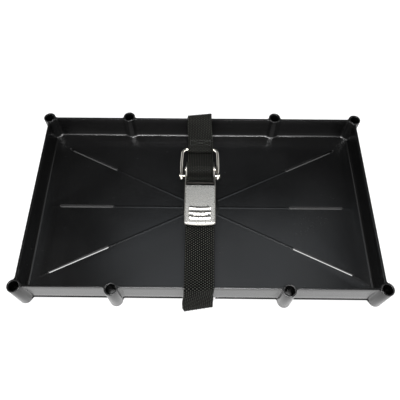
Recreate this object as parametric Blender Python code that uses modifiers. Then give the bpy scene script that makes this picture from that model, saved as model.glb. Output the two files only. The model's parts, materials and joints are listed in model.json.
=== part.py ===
"""Battery hold-down tray: a moulded tray with eight screw tubes, and one webbing strap
closed by an over-centre buckle.

X runs along the tray, Y from front to rear, Z up. The origin is the middle of the footprint,
on the surface that the tray stands on. All lengths below are in millimetres.
"""
import bpy
import bmesh
from math import acos, atan2, cos, pi, radians, sin
from mathutils import Matrix, Vector

MM = 0.001
GAP = 0.3                      # running and touching gap between two pieces

# ---- tray -------------------------------------------------------------------------------
HALF_X = 157.0                 # the walls are set out from this half length and half width
HALF_Y = 90.0
CORNER_TUBE = (155.9, 88.8)    # (x, y) of a corner tube's centre
MID_TUBE = (74.5, 90.6)        # (x, y) of a tube between the corners
TUBE_R = 5.85
TUBE_TOP = 34.0
BORE_R = 4.3                   # takes the head of a screw
SCREW_R = 2.6                  # takes the shank of a screw
SCREW_SEAT = 6.0               # height of the ledge under the screw head
RIM = 33.5
FOOT = 1.2                     # the walls end above the surface: tubes and ribs carry the tray
WALL = 2.0
RIM_INSET = 0.5                # outer face of the wall, inward of the setting out, at the rim
FOOT_INSET = 1.6               # the same at the foot: the walls have moulding draft
INNER_DRAFT = 0.2              # how much thicker the wall is at the floor than at the rim
FLOOR = 8.0
FLOOR_T = 2.8
FLOOR_FILLET = 2.0
CORNER_R = 2.4

SLOT_W = 3.4
SLOT_INNER_X = 87.0
SLOT_OUTER_X = 137.0
SLOT_ANGLE = 26.25             # degrees, the four corner slots
LIP_W = 1.1
LIP_H = 0.5
LEADER_W = 2.6                 # raised flow leaders that run out from the centre
LEADER_H = 0.3
LEADER_START = 9.0
LEADER_END = 8.5               # how far a leader runs on past its slot

CHANNEL_RIB_X = 15.5           # two ribs that keep the strap under the tray in line
SUPPORT_RIB_X = 81.0
RIB_T = 2.2
NOTCH_HALF = 13.6              # openings in the feet of the long walls, for the strap
NOTCH_TOP = 3.4

# ---- webbing ----------------------------------------------------------------------------
WEB_W = 24.2
WEB_T = 1.3
STRAP_UNDER = 1.2              # height of the webbing's middle under the tray
BULGE_Y = 97.6                 # how far the slack strap stands out, front and rear
BULGE_Z = 11.0
FOLD_Y = 98.6                  # the strap folds sharply under the tray at the front
BEND_Y = 95.2                  # and turns in a wider bend at the rear
SAG_Z = 27.0                   # where the slack strap leaves the line of the wall
SPAN_END = 84.0                # where the rear span meets the wrap, at the rear rim
TAIL_Z = 22.0                  # end of the free tail, behind the rear wall

# ---- buckle -----------------------------------------------------------------------------
SHEET = 0.6
HINGE = Vector((21.0, 43.0))   # (y, z) of the lever's hinge pin
PIVOT = Vector((15.0, 42.2))   # (y, z) of the bail's rivets in the lever
BAR = Vector((45.5, 40.5))     # (y, z) of the bail's cross bar, inside the sewn loop
GRIP = Vector((7.6, 41.1))     # (y, z) of the grip bar
PIN_R = 2.5
PIN_END_R = 1.5
PIN_HEAD_R = 2.2
EAR_IN = 12.4                  # inner face of the frame's ears
FLANGE_IN = EAR_IN + SHEET + GAP
FLANGE_OUT = FLANGE_IN + SHEET
GRIP_R = 1.8
GRIP_END_R = 1.0
RIVET_R = 1.1
RIVET_HEAD_R = 2.1
RIVET_HEAD_T = 0.8
WIRE_R = 1.45
LEG_X = 16.6
BAIL_CORNER_R = 4.8
EYE_R = 2.8
EYE_HALF_T = 1.2

FRAME_DROP = 6.4               # underside of the frame's base, below the hinge
FRAME_FRONT = 4.0
FRAME_REAR = 32.0
EAR_R = 5.4                    # round top of the frame's ears, about the hinge
EAR_FRONT = 12.0
EAR_STEP = 3.5                 # height of the ears' low ends above the base
WINDOW = ((-8.5, 8.5), (13.0, 25.0))   # (x, y) opening that lightens the frame's base
WINDOW_R = 2.0
BASE_END = 29.0                # the base stops short of the ears' rear ends

LEVER_REAR = 2.0               # rear edge of the lever's plate
LEVER_FRONT = -35.4
LEVER_REAR_Z = 46.0
LEVER_FRONT_Z = 43.4
LEVER_FOOT_Z = 39.6            # lower edge of the flanges
LEVER_ARM_R = 3.4              # round rear ends of the flanges, about the hinge
LEVER_LIP_R = 2.2              # rounded front edge
GRIP_RIB_R = 1.4               # ribs for the fingers on the lever's plate
GRIP_RIB_HALF = 9.4
GRIP_RIB_FIRST = 6.6           # first rib, behind the lever's front edge
GRIP_RIB_STEP = 4.75
GRIP_RIB_SINK = 0.75           # axis of a rib below the plate's top
LOOP_LENGTH = 12.0             # from the bail's bar to the end of the sewn part

BLACK = (0.012, 0.012, 0.013, 1)
WEBBING = (0.016, 0.016, 0.015, 1)
STEEL = (0.62, 0.60, 0.57, 1)


# ---- scene and small tools ------------------------------------------------------------------
def clear_scene():
    for obj in list(bpy.data.objects):
        bpy.data.objects.remove(obj, do_unlink=True)


def collection(name):
    group = bpy.data.collections.new(name)
    bpy.context.scene.collection.children.link(group)
    return group


clear_scene()
PARTS = collection("battery_tray")
CUTTERS = collection("cutters")


def material(name, colour, roughness, metallic=0.0):
    mat = bpy.data.materials.new(name)
    mat.use_nodes = True
    shader = mat.node_tree.nodes["Principled BSDF"]
    shader.inputs["Base Color"].default_value = colour
    shader.inputs["Roughness"].default_value = roughness
    shader.inputs["Metallic"].default_value = metallic
    return mat


def add_object(name, mesh, group):
    obj = bpy.data.objects.new(name, mesh)
    group.objects.link(obj)
    if group is CUTTERS:
        obj.hide_render = True
        obj.display_type = "WIRE"
    return obj


def from_bmesh(name, bm, group):
    bmesh.ops.recalc_face_normals(bm, faces=bm.faces)
    mesh = bpy.data.meshes.new(name)
    bm.to_mesh(mesh)
    bm.free()
    return add_object(name, mesh, group)


def box(name, x, y, z, group=CUTTERS):
    """A box between the (low, high) pairs x, y and z."""
    bm = bmesh.new()
    bmesh.ops.create_cube(bm, size=1.0)
    size = [(high - low) * MM for low, high in (x, y, z)]
    middle = [(high + low) / 2 * MM for low, high in (x, y, z)]
    bmesh.ops.scale(bm, vec=size, verts=bm.verts)
    bmesh.ops.translate(bm, vec=middle, verts=bm.verts)
    return from_bmesh(name, bm, group)


def tapered_box(name, low_half, high_half, z, group=CUTTERS):
    """A box centred on the origin whose half sizes (x, y) differ at its two heights z."""
    obj = box(name, (-1, 1), (-1, 1), z, group)
    for vertex in obj.data.vertices:
        half = high_half if vertex.co.z > sum(z) / 2 * MM else low_half
        vertex.co.x *= half[0]
        vertex.co.y *= half[1]
    return obj


def rod(name, radius, start, end, group=CUTTERS, segments=24):
    """A round rod from one point to another, both (x, y, z)."""
    start, end = Vector(start), Vector(end)
    bm = bmesh.new()
    bmesh.ops.create_cone(bm, cap_ends=True, segments=segments, radius1=radius * MM,
                          radius2=radius * MM, depth=(end - start).length * MM)
    turn = Vector((0, 0, 1)).rotation_difference(end - start).to_matrix().to_4x4()
    place = Matrix.Translation((start + end) / 2 * MM)
    bmesh.ops.transform(bm, matrix=place @ turn, verts=bm.verts)
    return from_bmesh(name, bm, group)


def boolean(obj, other, operation="DIFFERENCE", solver="EXACT"):
    modifier = obj.modifiers.new(other.name, "BOOLEAN")
    modifier.operation = operation
    modifier.object = other
    modifier.solver = solver


def evaluated(obj):
    """Replaces an object by the plain mesh that its curve or modifiers make."""
    bpy.context.view_layer.update()
    depsgraph = bpy.context.evaluated_depsgraph_get()
    mesh = bpy.data.meshes.new_from_object(obj.evaluated_get(depsgraph))
    bm = bmesh.new()
    bm.from_mesh(mesh)
    bmesh.ops.remove_doubles(bm, verts=bm.verts, dist=1e-6)
    bmesh.ops.recalc_face_normals(bm, faces=bm.faces)
    bm.to_mesh(mesh)
    bm.free()
    name, place, group = obj.name, obj.matrix_world.copy(), obj.users_collection[0]
    bpy.data.objects.remove(obj, do_unlink=True)
    mesh.transform(place)
    mesh.name = name
    return add_object(name, mesh, group)


# a curve's own plane laid onto (y, z), and its depth onto x
SIDE_VIEW = Matrix(((0, 0, 1, 0), (1, 0, 0, 0), (0, 1, 0, 0), (0, 0, 0, 1)))


def flat_curve(name, points, depth, group, filled=True):
    """A flat line of points, closed and filled or left open, given an equal depth on both sides."""
    curve = bpy.data.curves.new(name, "CURVE")
    curve.dimensions = "2D"
    curve.fill_mode = "BOTH" if filled else "NONE"
    curve.extrude = depth / 2 * MM
    line = curve.splines.new("POLY")
    line.points.add(len(points) - 1)
    for point, (first, second) in zip(line.points, points):
        point.co = (first * MM, second * MM, 0, 1)
    line.use_cyclic_u = filled
    return add_object(name, curve, group)


def profile_plate(name, points, x, group=CUTTERS):
    """A flat outline of (y, z) points, as thick as the (low, high) pair x."""
    obj = flat_curve(name, points, x[1] - x[0], group)
    obj.matrix_world = Matrix.Translation((sum(x) / 2 * MM, 0, 0)) @ SIDE_VIEW
    return evaluated(obj)


def finish(obj, mat):
    """Gives a part its material and smooth round faces."""
    obj.data.materials.clear()
    obj.data.materials.append(mat)
    obj.data.shade_smooth()
    obj.data.set_sharp_from_angle(angle=radians(35))


# ---- outlines in the (y, z) plane -------------------------------------------------------------
def arc(centre, radius, start, end, steps):
    """Points on an arc, from one angle to another in degrees."""
    angles = [radians(start + (end - start) * i / steps) for i in range(steps + 1)]
    return [Vector((centre[0] + radius * cos(a), centre[1] + radius * sin(a))) for a in angles]


def rounded_path(stops, steps=5):
    """A line through stops (y, z, radius), with each corner rounded to its radius."""
    corners = [Vector(stop[:2]) for stop in stops]
    path = [corners[0]]
    for before, here, after, stop in zip(corners, corners[1:], corners[2:], stops[1:]):
        back, ahead = (before - here).normalized(), (after - here).normalized()
        half = acos(max(-1.0, min(1.0, back.dot(ahead)))) / 2
        reach = min(stop[2] / max(0.001, abs(sin(half) / cos(half))),
                    0.49 * (before - here).length, 0.49 * (after - here).length)
        entry, leave = here + back * reach, here + ahead * reach
        for i in range(steps + 1):
            t = i / steps
            path.append(entry * (1 - t) ** 2 + here * 2 * t * (1 - t) + leave * t ** 2)
    path.append(corners[-1])
    return path


def web_band(name, path, group):
    """Webbing laid along a path of (y, z) points."""
    obj = flat_curve(name, path, WEB_W, group, filled=False)
    obj.matrix_world = SIDE_VIEW
    obj = evaluated(obj)
    thick = obj.modifiers.new("thickness", "SOLIDIFY")
    thick.thickness = WEB_T * MM
    thick.offset = 0.0
    thick.use_even_offset = True
    return evaluated(obj)


# ---- tray -------------------------------------------------------------------------------------
def tube_places():
    """(x, y) of the eight tubes: four corners and two on each long wall."""
    return [(x_side * x, y_side * y) for x, y in (CORNER_TUBE, MID_TUBE)
            for x_side in (-1, 1) for y_side in (-1, 1)]


def half_size(inset):
    return HALF_X - inset, HALF_Y - inset


def bevel_edges(obj, width, segments, wanted):
    """Rounds the edges that the test wanted(start, end) picks."""
    bm = bmesh.new()
    bm.from_mesh(obj.data)
    edges = [edge for edge in bm.edges if wanted(edge.verts[0].co, edge.verts[1].co)]
    bmesh.ops.bevel(bm, geom=edges, offset=width * MM, offset_type="OFFSET", segments=segments,
                    profile=0.5, affect="EDGES", clamp_overlap=True)
    bm.to_mesh(obj.data)
    bm.free()


def cavity():
    """The space that the battery stands in, with a round floor edge and round corners."""
    rim_inset = RIM_INSET + WALL
    obj = tapered_box("cavity", half_size(rim_inset + INNER_DRAFT), half_size(rim_inset),
                      (FLOOR, RIM + 1.0))
    bevel_edges(obj, CORNER_R, 4, lambda a, b: abs(a.z - b.z) > 5 * MM)
    low = (FLOOR + 0.01) * MM
    bevel_edges(obj, FLOOR_FILLET, 4, lambda a, b: a.z < low and b.z < low)
    return obj


def slot_runs():
    """(start, end) of the middles of the six radial slots, each (x, y)."""
    runs = []
    for side in (-1, 1):
        for angle in (-SLOT_ANGLE, 0.0, SLOT_ANGLE):
            slope = sin(radians(angle)) / cos(radians(angle))
            runs.append([Vector((side * x, x * slope)) for x in (SLOT_INNER_X, SLOT_OUTER_X)])
    return runs


def stadium(name, start, end, half_width, z):
    """A bar with round ends, standing between the heights z."""
    along = (end - start).normalized()
    turn = atan2(along.y, along.x) * 180 / pi
    outline = []
    for middle, first in ((end, turn - 90), (start, turn + 90)):
        outline += arc(middle, half_width, first, first + 180, 8)
    obj = flat_curve(name, outline, z[1] - z[0], CUTTERS)
    obj.location.z = sum(z) / 2 * MM
    return evaluated(obj)


def tray(mat):
    """The moulding. Its many flush faces need the MANIFOLD solver."""
    obj = tapered_box("tray", half_size(FOOT_INSET), half_size(RIM_INSET), (FOOT, RIM), PARTS)

    def cut(cutter):
        boolean(obj, cutter, "DIFFERENCE", "MANIFOLD")

    def join(piece):
        boolean(obj, piece, "UNION", "MANIFOLD")

    cut(cavity())
    pan_half = half_size(FOOT_INSET + WALL)
    cut(tapered_box("underside", pan_half, pan_half, (-1, FLOOR - FLOOR_T)))
    for x in (-SUPPORT_RIB_X, -CHANNEL_RIB_X, CHANNEL_RIB_X, SUPPORT_RIB_X):
        join(box(f"rib_{x:.0f}", (x - RIB_T / 2, x + RIB_T / 2),
                 (-pan_half[1] - 1, pan_half[1] + 1), (0, FLOOR - 1)))
    for number, (start, end) in enumerate(slot_runs()):
        inner = start.normalized() * LEADER_START
        outer = end + (end - start).normalized() * LEADER_END
        join(stadium(f"leader_{number}", inner, outer, LEADER_W / 2, (FLOOR - 1, FLOOR + LEADER_H)))
        join(stadium(f"lip_{number}", start, end, SLOT_W / 2 + LIP_W, (FLOOR - 0.9, FLOOR + LIP_H)))
    for number, (start, end) in enumerate(slot_runs()):
        cut(stadium(f"slot_{number}", start, end, SLOT_W / 2, (FLOOR - 5, FLOOR + 2)))

    for number, (x, y) in enumerate(tube_places()):
        join(rod(f"tube_{number}", TUBE_R, (x, y, 0), (x, y, TUBE_TOP), segments=32))
    for number, (x, y) in enumerate(tube_places()):
        cut(rod(f"bore_{number}", BORE_R, (x, y, SCREW_SEAT), (x, y, TUBE_TOP + 2)))
        cut(rod(f"screw_{number}", SCREW_R, (x, y, -2), (x, y, SCREW_SEAT + 1), segments=16))
    reach = HALF_Y + 1
    cut(box("notch", (-NOTCH_HALF, NOTCH_HALF), (-reach, reach), (-1, NOTCH_TOP)))
    finish(evaluated(obj), mat)


# ---- webbing ----------------------------------------------------------------------------------
def span_slope():
    """Unit vector (y, z) along the rear span, from the bail's bar to the rear rim."""
    return (Vector((SPAN_END, crest_height())) - BAR).normalized()


def crest_height():
    """Middle of the webbing over the rear rim, where it lies on its own free end."""
    return RIM + GAP + WEB_T + GAP + WEB_T / 2


def frame_floor():
    """Top of the frame's base plate."""
    return HINGE.y - FRAME_DROP + SHEET


def wrap_path():
    """From the rear rim round and under the tray, up to the buckle, and back to the rear rim."""
    rim_web = RIM + GAP + WEB_T / 2
    outside = HALF_Y - RIM_INSET
    hinge_y, hinge_z = HINGE
    over_pin = hinge_z + PIN_R + GAP + WEB_T / 2
    base_web = frame_floor() + GAP + WEB_T / 2
    under = [(BEND_Y, STRAP_UNDER, 4.5), (-FOLD_Y, STRAP_UNDER, 2.2)]
    rear = [(SPAN_END + GAP, crest_height() - 0.02, 0), (outside + 2.6, crest_height() - 0.2, 3.0),
            (outside + 5.2, SAG_Z, 12.0), (BULGE_Y, BULGE_Z, 10.0)]
    front = [(-BULGE_Y, BULGE_Z, 10.0), (-outside - 3.6, SAG_Z, 12.0), (-outside - 1.4, rim_web, 2.6),
             (-outside + 6.0, rim_web + 0.2, 20.0)]
    buckle = [(0.0, base_web, 25.0), (hinge_y - 10.4, base_web, 5.0), (hinge_y - 3.1, over_pin, 3.0),
              (hinge_y + 0.6, over_pin + 0.5, 3.4), (hinge_y + 7.0, hinge_z + 0.4, 9.0)]
    tail = [(BAR.x - 2.0, BAR.y - 4.6, 12.0), (outside - 8.0, rim_web + 0.1, 20.0),
            (outside + 0.9, rim_web, 2.0), (outside + 1.9, TAIL_Z, 0)]
    return rounded_path(rear + under + front + buckle + tail)


def strap_wrap(mat):
    obj = web_band("strap_wrap", wrap_path(), PARTS)
    finish(obj, mat)


def strap_rear_span(mat):
    along = span_slope()
    start = BAR + along * (LOOP_LENGTH + GAP)
    obj = web_band("strap_rear_span", [start, Vector((SPAN_END, crest_height()))], PARTS)
    finish(obj, mat)


def strap_loop(mat):
    """The sewn loop round the bail's bar, with its two layers sewn flat behind it."""
    along = span_slope()
    across = Vector((-along.y, along.x))
    outer = WIRE_R + GAP + WEB_T
    tilt = atan2(along.y, along.x) * 180 / pi
    end = BAR + along * LOOP_LENGTH
    outline = arc(BAR, outer, tilt + 75, tilt + 285, 16)
    outline += [end - across * (WEB_T + 0.05), end + across * (WEB_T + 0.05)]
    obj = profile_plate("strap_loop", outline, (-WEB_W / 2, WEB_W / 2), PARTS)
    hole = rod("loop_hole", WIRE_R + GAP, (-WEB_W, *BAR), (WEB_W, *BAR))
    boolean(obj, hole)
    finish(evaluated(obj), mat)


# ---- buckle -------------------------------------------------------------------------------------
def cross_hole(name, centre, radius):
    return rod(name, radius, (-30, *centre), (30, *centre), segments=20)


def buckle_frame(mat):
    """A stamped channel: a base plate under the webbing and an ear on each side."""
    base, floor = HINGE.y - FRAME_DROP, frame_floor()
    ear = [Vector((FRAME_FRONT, base)), Vector((FRAME_REAR, base)), Vector((FRAME_REAR, base + EAR_STEP))]
    ear += arc(HINGE, EAR_R, 35, 125, 8)
    ear += [Vector((EAR_FRONT, base + EAR_STEP)), Vector((EAR_FRONT - 1, floor)),
            Vector((FRAME_FRONT, floor))]
    width = EAR_IN + SHEET
    obj = profile_plate("buckle_frame", ear, (-width, width), PARTS)
    boolean(obj, box("between_ears", (-EAR_IN, EAR_IN), (-10, 50), (floor, base + 20)))
    window = box("base_window", *WINDOW, (base - 1, base + 2))
    bevel_edges(window, WINDOW_R, 3, lambda a, b: abs(a.z - b.z) > 1 * MM)
    boolean(obj, window)
    boolean(obj, box("base_end", (-30, 30), (BASE_END, 40), (base - 1, floor + 0.8)))
    boolean(obj, cross_hole("frame_pin_hole", HINGE, PIN_END_R + GAP))
    finish(evaluated(obj), mat)


def turned_pin(name, steps, centre, mat):
    """A round pin along X. Steps are (x, radius) pairs from its one end to the other."""
    bm = bmesh.new()
    profile = [(steps[0][0], 0.0)]
    for (x, radius), (_, before) in zip(steps, [(0, 0)] + steps[:-1]):
        if before and before != radius:
            profile.append((x, before))
        profile.append((x, radius))
    profile.append((steps[-1][0], 0.0))
    points = [bm.verts.new((radius * MM, 0, x * MM)) for x, radius in reversed(profile)]
    for first, second in zip(points, points[1:]):
        bm.edges.new((first, second))
    mesh = bpy.data.meshes.new(name)
    bm.to_mesh(mesh)
    bm.free()
    obj = add_object(name, mesh, PARTS)
    screw = obj.modifiers.new("turn", "SCREW")
    screw.axis = "Z"
    screw.angle = 2 * pi
    screw.steps = screw.render_steps = 24
    screw.use_merge_vertices = True
    screw.merge_threshold = 0.00001
    obj.matrix_world = Matrix.Translation((0, *(centre * MM))) @ Matrix.Rotation(pi / 2, 4, "Y")
    finish(evaluated(obj), mat)


def hinge_pin(mat):
    ear, arm = EAR_IN - GAP, FLANGE_OUT + GAP
    head = arm + 0.4
    turned_pin("hinge_pin", [(-head, PIN_HEAD_R), (-arm, PIN_END_R), (-ear, PIN_R), (ear, PIN_END_R),
                             (arm, PIN_HEAD_R), (head, PIN_HEAD_R)], HINGE, mat)


def grip_bar(mat):
    inner, outer = FLANGE_IN - GAP, FLANGE_OUT + 0.2
    turned_pin("grip_bar", [(-outer, GRIP_END_R), (-inner, GRIP_R), (inner, GRIP_END_R),
                            (outer, GRIP_END_R)], GRIP, mat)


def bail_rivets(mat):
    neck = LEG_X + WIRE_R + GAP
    for name, side in (("bail_rivet_left", -1), ("bail_rivet_right", 1)):
        head = neck + RIVET_HEAD_T
        steps = [(side * FLANGE_IN, RIVET_R), (side * neck, RIVET_HEAD_R), (side * head, RIVET_HEAD_R)]
        if side < 0:
            steps = [(steps[2][0], RIVET_HEAD_R), (steps[1][0], RIVET_R), (steps[0][0], RIVET_R)]
        turned_pin(name, steps, PIVOT, mat)


def lever_outline():
    """Side view of the lever: the arms at the hinge, the flanges and the handle's front lip."""
    lip = Vector((LEVER_FRONT + LEVER_LIP_R, LEVER_FRONT_Z - LEVER_LIP_R))
    outline = arc(HINGE, LEVER_ARM_R, -80, 100, 12)
    outline += [Vector((LEVER_REAR, LEVER_REAR_Z)), Vector((lip.x, LEVER_FRONT_Z))]
    outline += arc(lip, LEVER_LIP_R, 100, 180, 5)
    outline += [Vector((LEVER_FRONT + 0.8, LEVER_FOOT_Z + 0.6)), Vector((LEVER_FRONT + 4.0, LEVER_FOOT_Z)),
                Vector((EAR_FRONT, LEVER_FOOT_Z - 0.6))]
    return outline


def lever_inside():
    """Side view of the space between the flanges, under the plate and behind the front lip."""
    face = LEVER_FRONT + 1.2
    rear = LEVER_REAR + 0.3
    return [Vector((40.0, LEVER_REAR_Z + 10)), Vector((rear, LEVER_REAR_Z + 10)),
            Vector((rear, LEVER_REAR_Z - SHEET)), Vector((LEVER_FRONT + 2.8, LEVER_FRONT_Z - SHEET)),
            Vector((face, LEVER_FRONT_Z - 2.4)), Vector((face, 30.0)), Vector((40.0, 30.0))]


def lever(mat):
    obj = profile_plate("lever", lever_outline(), (-FLANGE_OUT, FLANGE_OUT), PARTS)
    boolean(obj, profile_plate("lever_inside", lever_inside(), (-FLANGE_IN, FLANGE_IN)))
    lip = LEVER_FRONT + LEVER_LIP_R
    slope = (LEVER_REAR_Z - LEVER_FRONT_Z) / (LEVER_REAR - lip)
    for number in range(3):
        y = LEVER_FRONT + GRIP_RIB_FIRST + GRIP_RIB_STEP * number
        axis = (y, LEVER_FRONT_Z + (y - lip) * slope - GRIP_RIB_SINK)
        rib = rod(f"grip_rib_{number}", GRIP_RIB_R, (-GRIP_RIB_HALF, *axis), (GRIP_RIB_HALF, *axis),
                  segments=16)
        boolean(obj, rib, "UNION")
    boolean(obj, cross_hole("lever_pin_hole", HINGE, PIN_END_R + GAP))
    boolean(obj, cross_hole("lever_rivet_hole", PIVOT, RIVET_R + GAP))
    boolean(obj, cross_hole("lever_grip_hole", GRIP, GRIP_END_R + GAP))
    finish(evaluated(obj), mat)


def bail(mat):
    """A round wire from one rivet, round the cross bar, to the other, with an eye at each end."""
    along = (BAR - PIVOT).normalized()
    reach = (BAR - PIVOT).length
    turn = BAIL_CORNER_R
    flat = [(-LEG_X, 0.0)]
    for centre, first, last in ((-1, 180, 90), (1, 90, 0)):
        middle = (centre * (LEG_X - turn), reach - turn)
        flat += [tuple(point) for point in arc(middle, turn, first, last, 8)]
    flat += [(LEG_X, 0.0)]
    curve = bpy.data.curves.new("bail", "CURVE")
    curve.dimensions = "3D"
    curve.bevel_depth = WIRE_R * MM
    curve.bevel_resolution = 4
    curve.use_fill_caps = True
    line = curve.splines.new("POLY")
    line.points.add(len(flat) - 1)
    for point, (x, run) in zip(line.points, flat):
        y, z = PIVOT + along * run
        point.co = (x * MM, y * MM, z * MM, 1)
    obj = evaluated(add_object("bail", curve, PARTS))
    for side in (-1, 1):
        start, end = side * LEG_X - EYE_HALF_T, side * LEG_X + EYE_HALF_T
        boolean(obj, rod(f"eye_{side}", EYE_R, (start, *PIVOT), (end, *PIVOT)), "UNION")
    boolean(obj, cross_hole("bail_rivet_holes", PIVOT, RIVET_R + GAP))
    finish(evaluated(obj), mat)


def build():
    tray(material("moulded_black", BLACK, 0.38))
    webbing = material("black_webbing", WEBBING, 0.85)
    strap_wrap(webbing)
    strap_rear_span(webbing)
    strap_loop(webbing)
    steel = material("stainless_sheet", STEEL, 0.32, 1.0)
    bright = material("stainless_wire", STEEL, 0.2, 1.0)
    buckle_frame(steel)
    hinge_pin(bright)
    lever(steel)
    grip_bar(bright)
    bail(bright)
    bail_rivets(bright)


build()
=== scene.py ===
"""The looks of the battery hold-down tray: its moulding, webbing strap and over-centre buckle.

X runs along the tray, Y from front to rear, Z up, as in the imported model. Lengths below are in
millimetres and are turned into metres where a mesh is made.
"""
import json
from math import acos, atan2, cos, degrees, pi, radians, sin, sqrt, tan

import bmesh
import bpy
import numpy as np
from mathutils import Matrix, Vector

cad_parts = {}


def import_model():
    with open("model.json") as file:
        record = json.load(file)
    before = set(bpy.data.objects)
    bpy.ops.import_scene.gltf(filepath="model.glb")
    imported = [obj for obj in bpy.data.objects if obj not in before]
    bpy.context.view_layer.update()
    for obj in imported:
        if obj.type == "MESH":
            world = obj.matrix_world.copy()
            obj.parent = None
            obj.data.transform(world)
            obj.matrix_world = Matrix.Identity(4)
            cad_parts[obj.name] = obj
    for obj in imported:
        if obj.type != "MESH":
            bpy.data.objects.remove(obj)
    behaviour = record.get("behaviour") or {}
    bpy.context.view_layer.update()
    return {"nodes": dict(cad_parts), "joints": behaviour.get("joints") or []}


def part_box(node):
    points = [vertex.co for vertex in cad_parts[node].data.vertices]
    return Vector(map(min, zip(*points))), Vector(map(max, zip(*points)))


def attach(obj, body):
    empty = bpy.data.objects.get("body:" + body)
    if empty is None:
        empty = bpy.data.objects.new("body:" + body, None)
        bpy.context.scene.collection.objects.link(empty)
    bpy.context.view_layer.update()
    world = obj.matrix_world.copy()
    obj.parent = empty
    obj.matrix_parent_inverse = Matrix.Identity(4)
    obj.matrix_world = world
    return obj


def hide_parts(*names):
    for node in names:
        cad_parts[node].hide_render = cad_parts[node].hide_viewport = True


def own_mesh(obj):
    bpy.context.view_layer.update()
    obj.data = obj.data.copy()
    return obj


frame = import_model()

MM = 0.001


def in_mm(point):
    return Vector(point) / MM


def joint_place(name):
    """(y, z) of a joint's axis."""
    joint = next(j for j in frame["joints"] if j["name"] == name)
    return in_mm(joint["pos_m"]).yz


# ---- sizes read from the frame ----------------------------------------------------------------
TRAY_HIGH = in_mm(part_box("tray")[1])
HINGE = joint_place("lever_hinge")
PIVOT = joint_place("bail_pivot")
BAR = joint_place("loop_pivot")

# ---- tray -------------------------------------------------------------------------------------
TUBE_R = 5.85
TUBE_TOP = TRAY_HIGH.z
HALF_X = 157.0                         # the walls are set out from this rectangle
HALF_Y = 90.0
CORNER_TUBE = (TRAY_HIGH.x - TUBE_R, 88.8)
MID_TUBE = (74.5, TRAY_HIGH.y - TUBE_R)
BORE_R = 4.3
SCREW_R = 2.6
SCREW_SEAT = 6.0                       # height of the ledge that a screw's head stands on
SCREW_CHAMFER = 0.4
MOUTH_ROUND = 0.4                      # at the top of the bore
TUBE_ROUND = 0.45
RIM = 33.5
FOOT = 1.2
WALL = 2.0
RIM_INSET = 0.5
WAIST_Z = 7.0                          # the outer face draws in more steeply below this height
WAIST_INSET = 1.05
HEEL_INSET = 2.0
HEEL_Z = 1.95                          # top of the narrow bead round the foot
HEEL_STEP = 0.12
HEEL_RISE = 0.15
FOOT_CHAMFER = 0.3
BEAD_INSET = 1.15
BEAD_ROUND = 0.25
PAN_INSET = 3.6                        # inner face of the walls, under the floor
PAN_CHAMFER = 0.8
INNER_DRAFT = 0.2
RIM_ROUND = 0.15
FLOOR = 8.0
FLOOR_T = 2.8
FLOOR_FILLET = 1.6
CORNER_R = 2.0
TUBE_HEEL_R = 5.3                      # the tubes draw in at their feet
TUBE_HEEL_Z = 2.5
TUBE_HEEL_CHAMFER = 0.2
TUBE_BLEND = 2.2                       # how softly a tube runs into the wall
TUBE_SKIN = 0.06                       # the wall's own bulge lies this far inside the tube
CORE = 14.0                            # the rings' rays start this far inside the tube centres

SLOT_W = 2.0
SLOT_ROUND = 0.5                       # how the slot's edges roll over at the floor's top
SLOT_ROUND_LOW = 0.25                  # how far below the floor's top that starts
COLLAR_T = 0.9                         # wall of the collar under each slot
COLLAR_CHAMFER = 0.2
COLLAR_DEPTHS = (3.0, 4.6, 7.2)        # below the floor's top: front, middle and rear slots
SLOT_INNER_X = 87.0
SLOT_OUTER_X = 137.0
SLOT_ANGLE = radians(26.25)
LIP_W = 0.5
LIP_H = 0.25
LEADER_W = 2.6
LEADER_H = 0.09
LEADER_START = 12.0
LEADER_END = 8.5
HUB_R = 18.0
HUB_H = 0.3
HUB_EDGE = 1.2                         # width of its rounded edge
RIB_PLACES = (-81.0, -15.5, 15.5, 81.0)
RIB_T = 2.2
NOTCH_HALF = 13.6                      # half width of the strap's opening in the walls' feet
NOTCH_TOP = 3.4
NOTCH_R = 1.2

# ---- webbing ----------------------------------------------------------------------------------
GAP = 0.3
WEB_W = 24.2
SLACK_W = 25.4                         # where nothing pinches it, in front of the buckle
WEB_X = -0.9                           # strap and buckle sit a little to the left
WEB_T = 1.3
COLUMNS = 15                           # warp yarns across the webbing
COLUMN_STEPS = 3                       # mesh cells across one yarn
PICK = 2.22                            # length of one knuckle along the webbing
PICK_STEPS = 5                         # mesh rows along one knuckle
KNUCKLE_H = 0.36
KNUCKLE_FALL = (0.85, 2.0)             # how fast a knuckle falls away across and along the webbing
SELVAGE = 0.33                         # thickness at the webbing's edges, as a share
STRAP_UNDER = 1.2
BULGE_Y = 97.6
BULGE_Z = 11.0
FOLD_Y = 98.6                          # sharp fold under the tray at the front
BEND_Y = 95.2                          # wider bend at the rear
SAG_Z = 27.0
SPAN_END = 84.0
TAIL_Z = 22.0
TAIL_LENGTH = 75.0                     # the last stretch of the free end, over the rear rim
LOOP_LENGTH = 12.0
SPAN_OVERLAP = 0.2                     # how far the rear span runs into the loop's sewn end
REAR_DRIFT = -1.3                      # how far the strap has slid to the left at the rear rim
TAIL_DRIFT = -0.6                      # and how much further its free end has
CREST_RISE = 0.8                       # it is slack there, and its right edge stands higher
CREST_LIFT = 0.7
CREST_LEAN = 0.6
FRONT_SKEW = 2.1                       # how far it stands askew down the front wall and the rear
REAR_SKEW = 1.1
REAR_PUSH = -0.6
FRONT_SHIFT = -0.5                     # to the left down the front wall, and more near its foot
FOOT_SHIFT = -1.3
STITCH_INSET = 2.2                     # from the webbing's edge
STITCH_PITCH = 2.4
THREAD_R = 0.22

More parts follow.
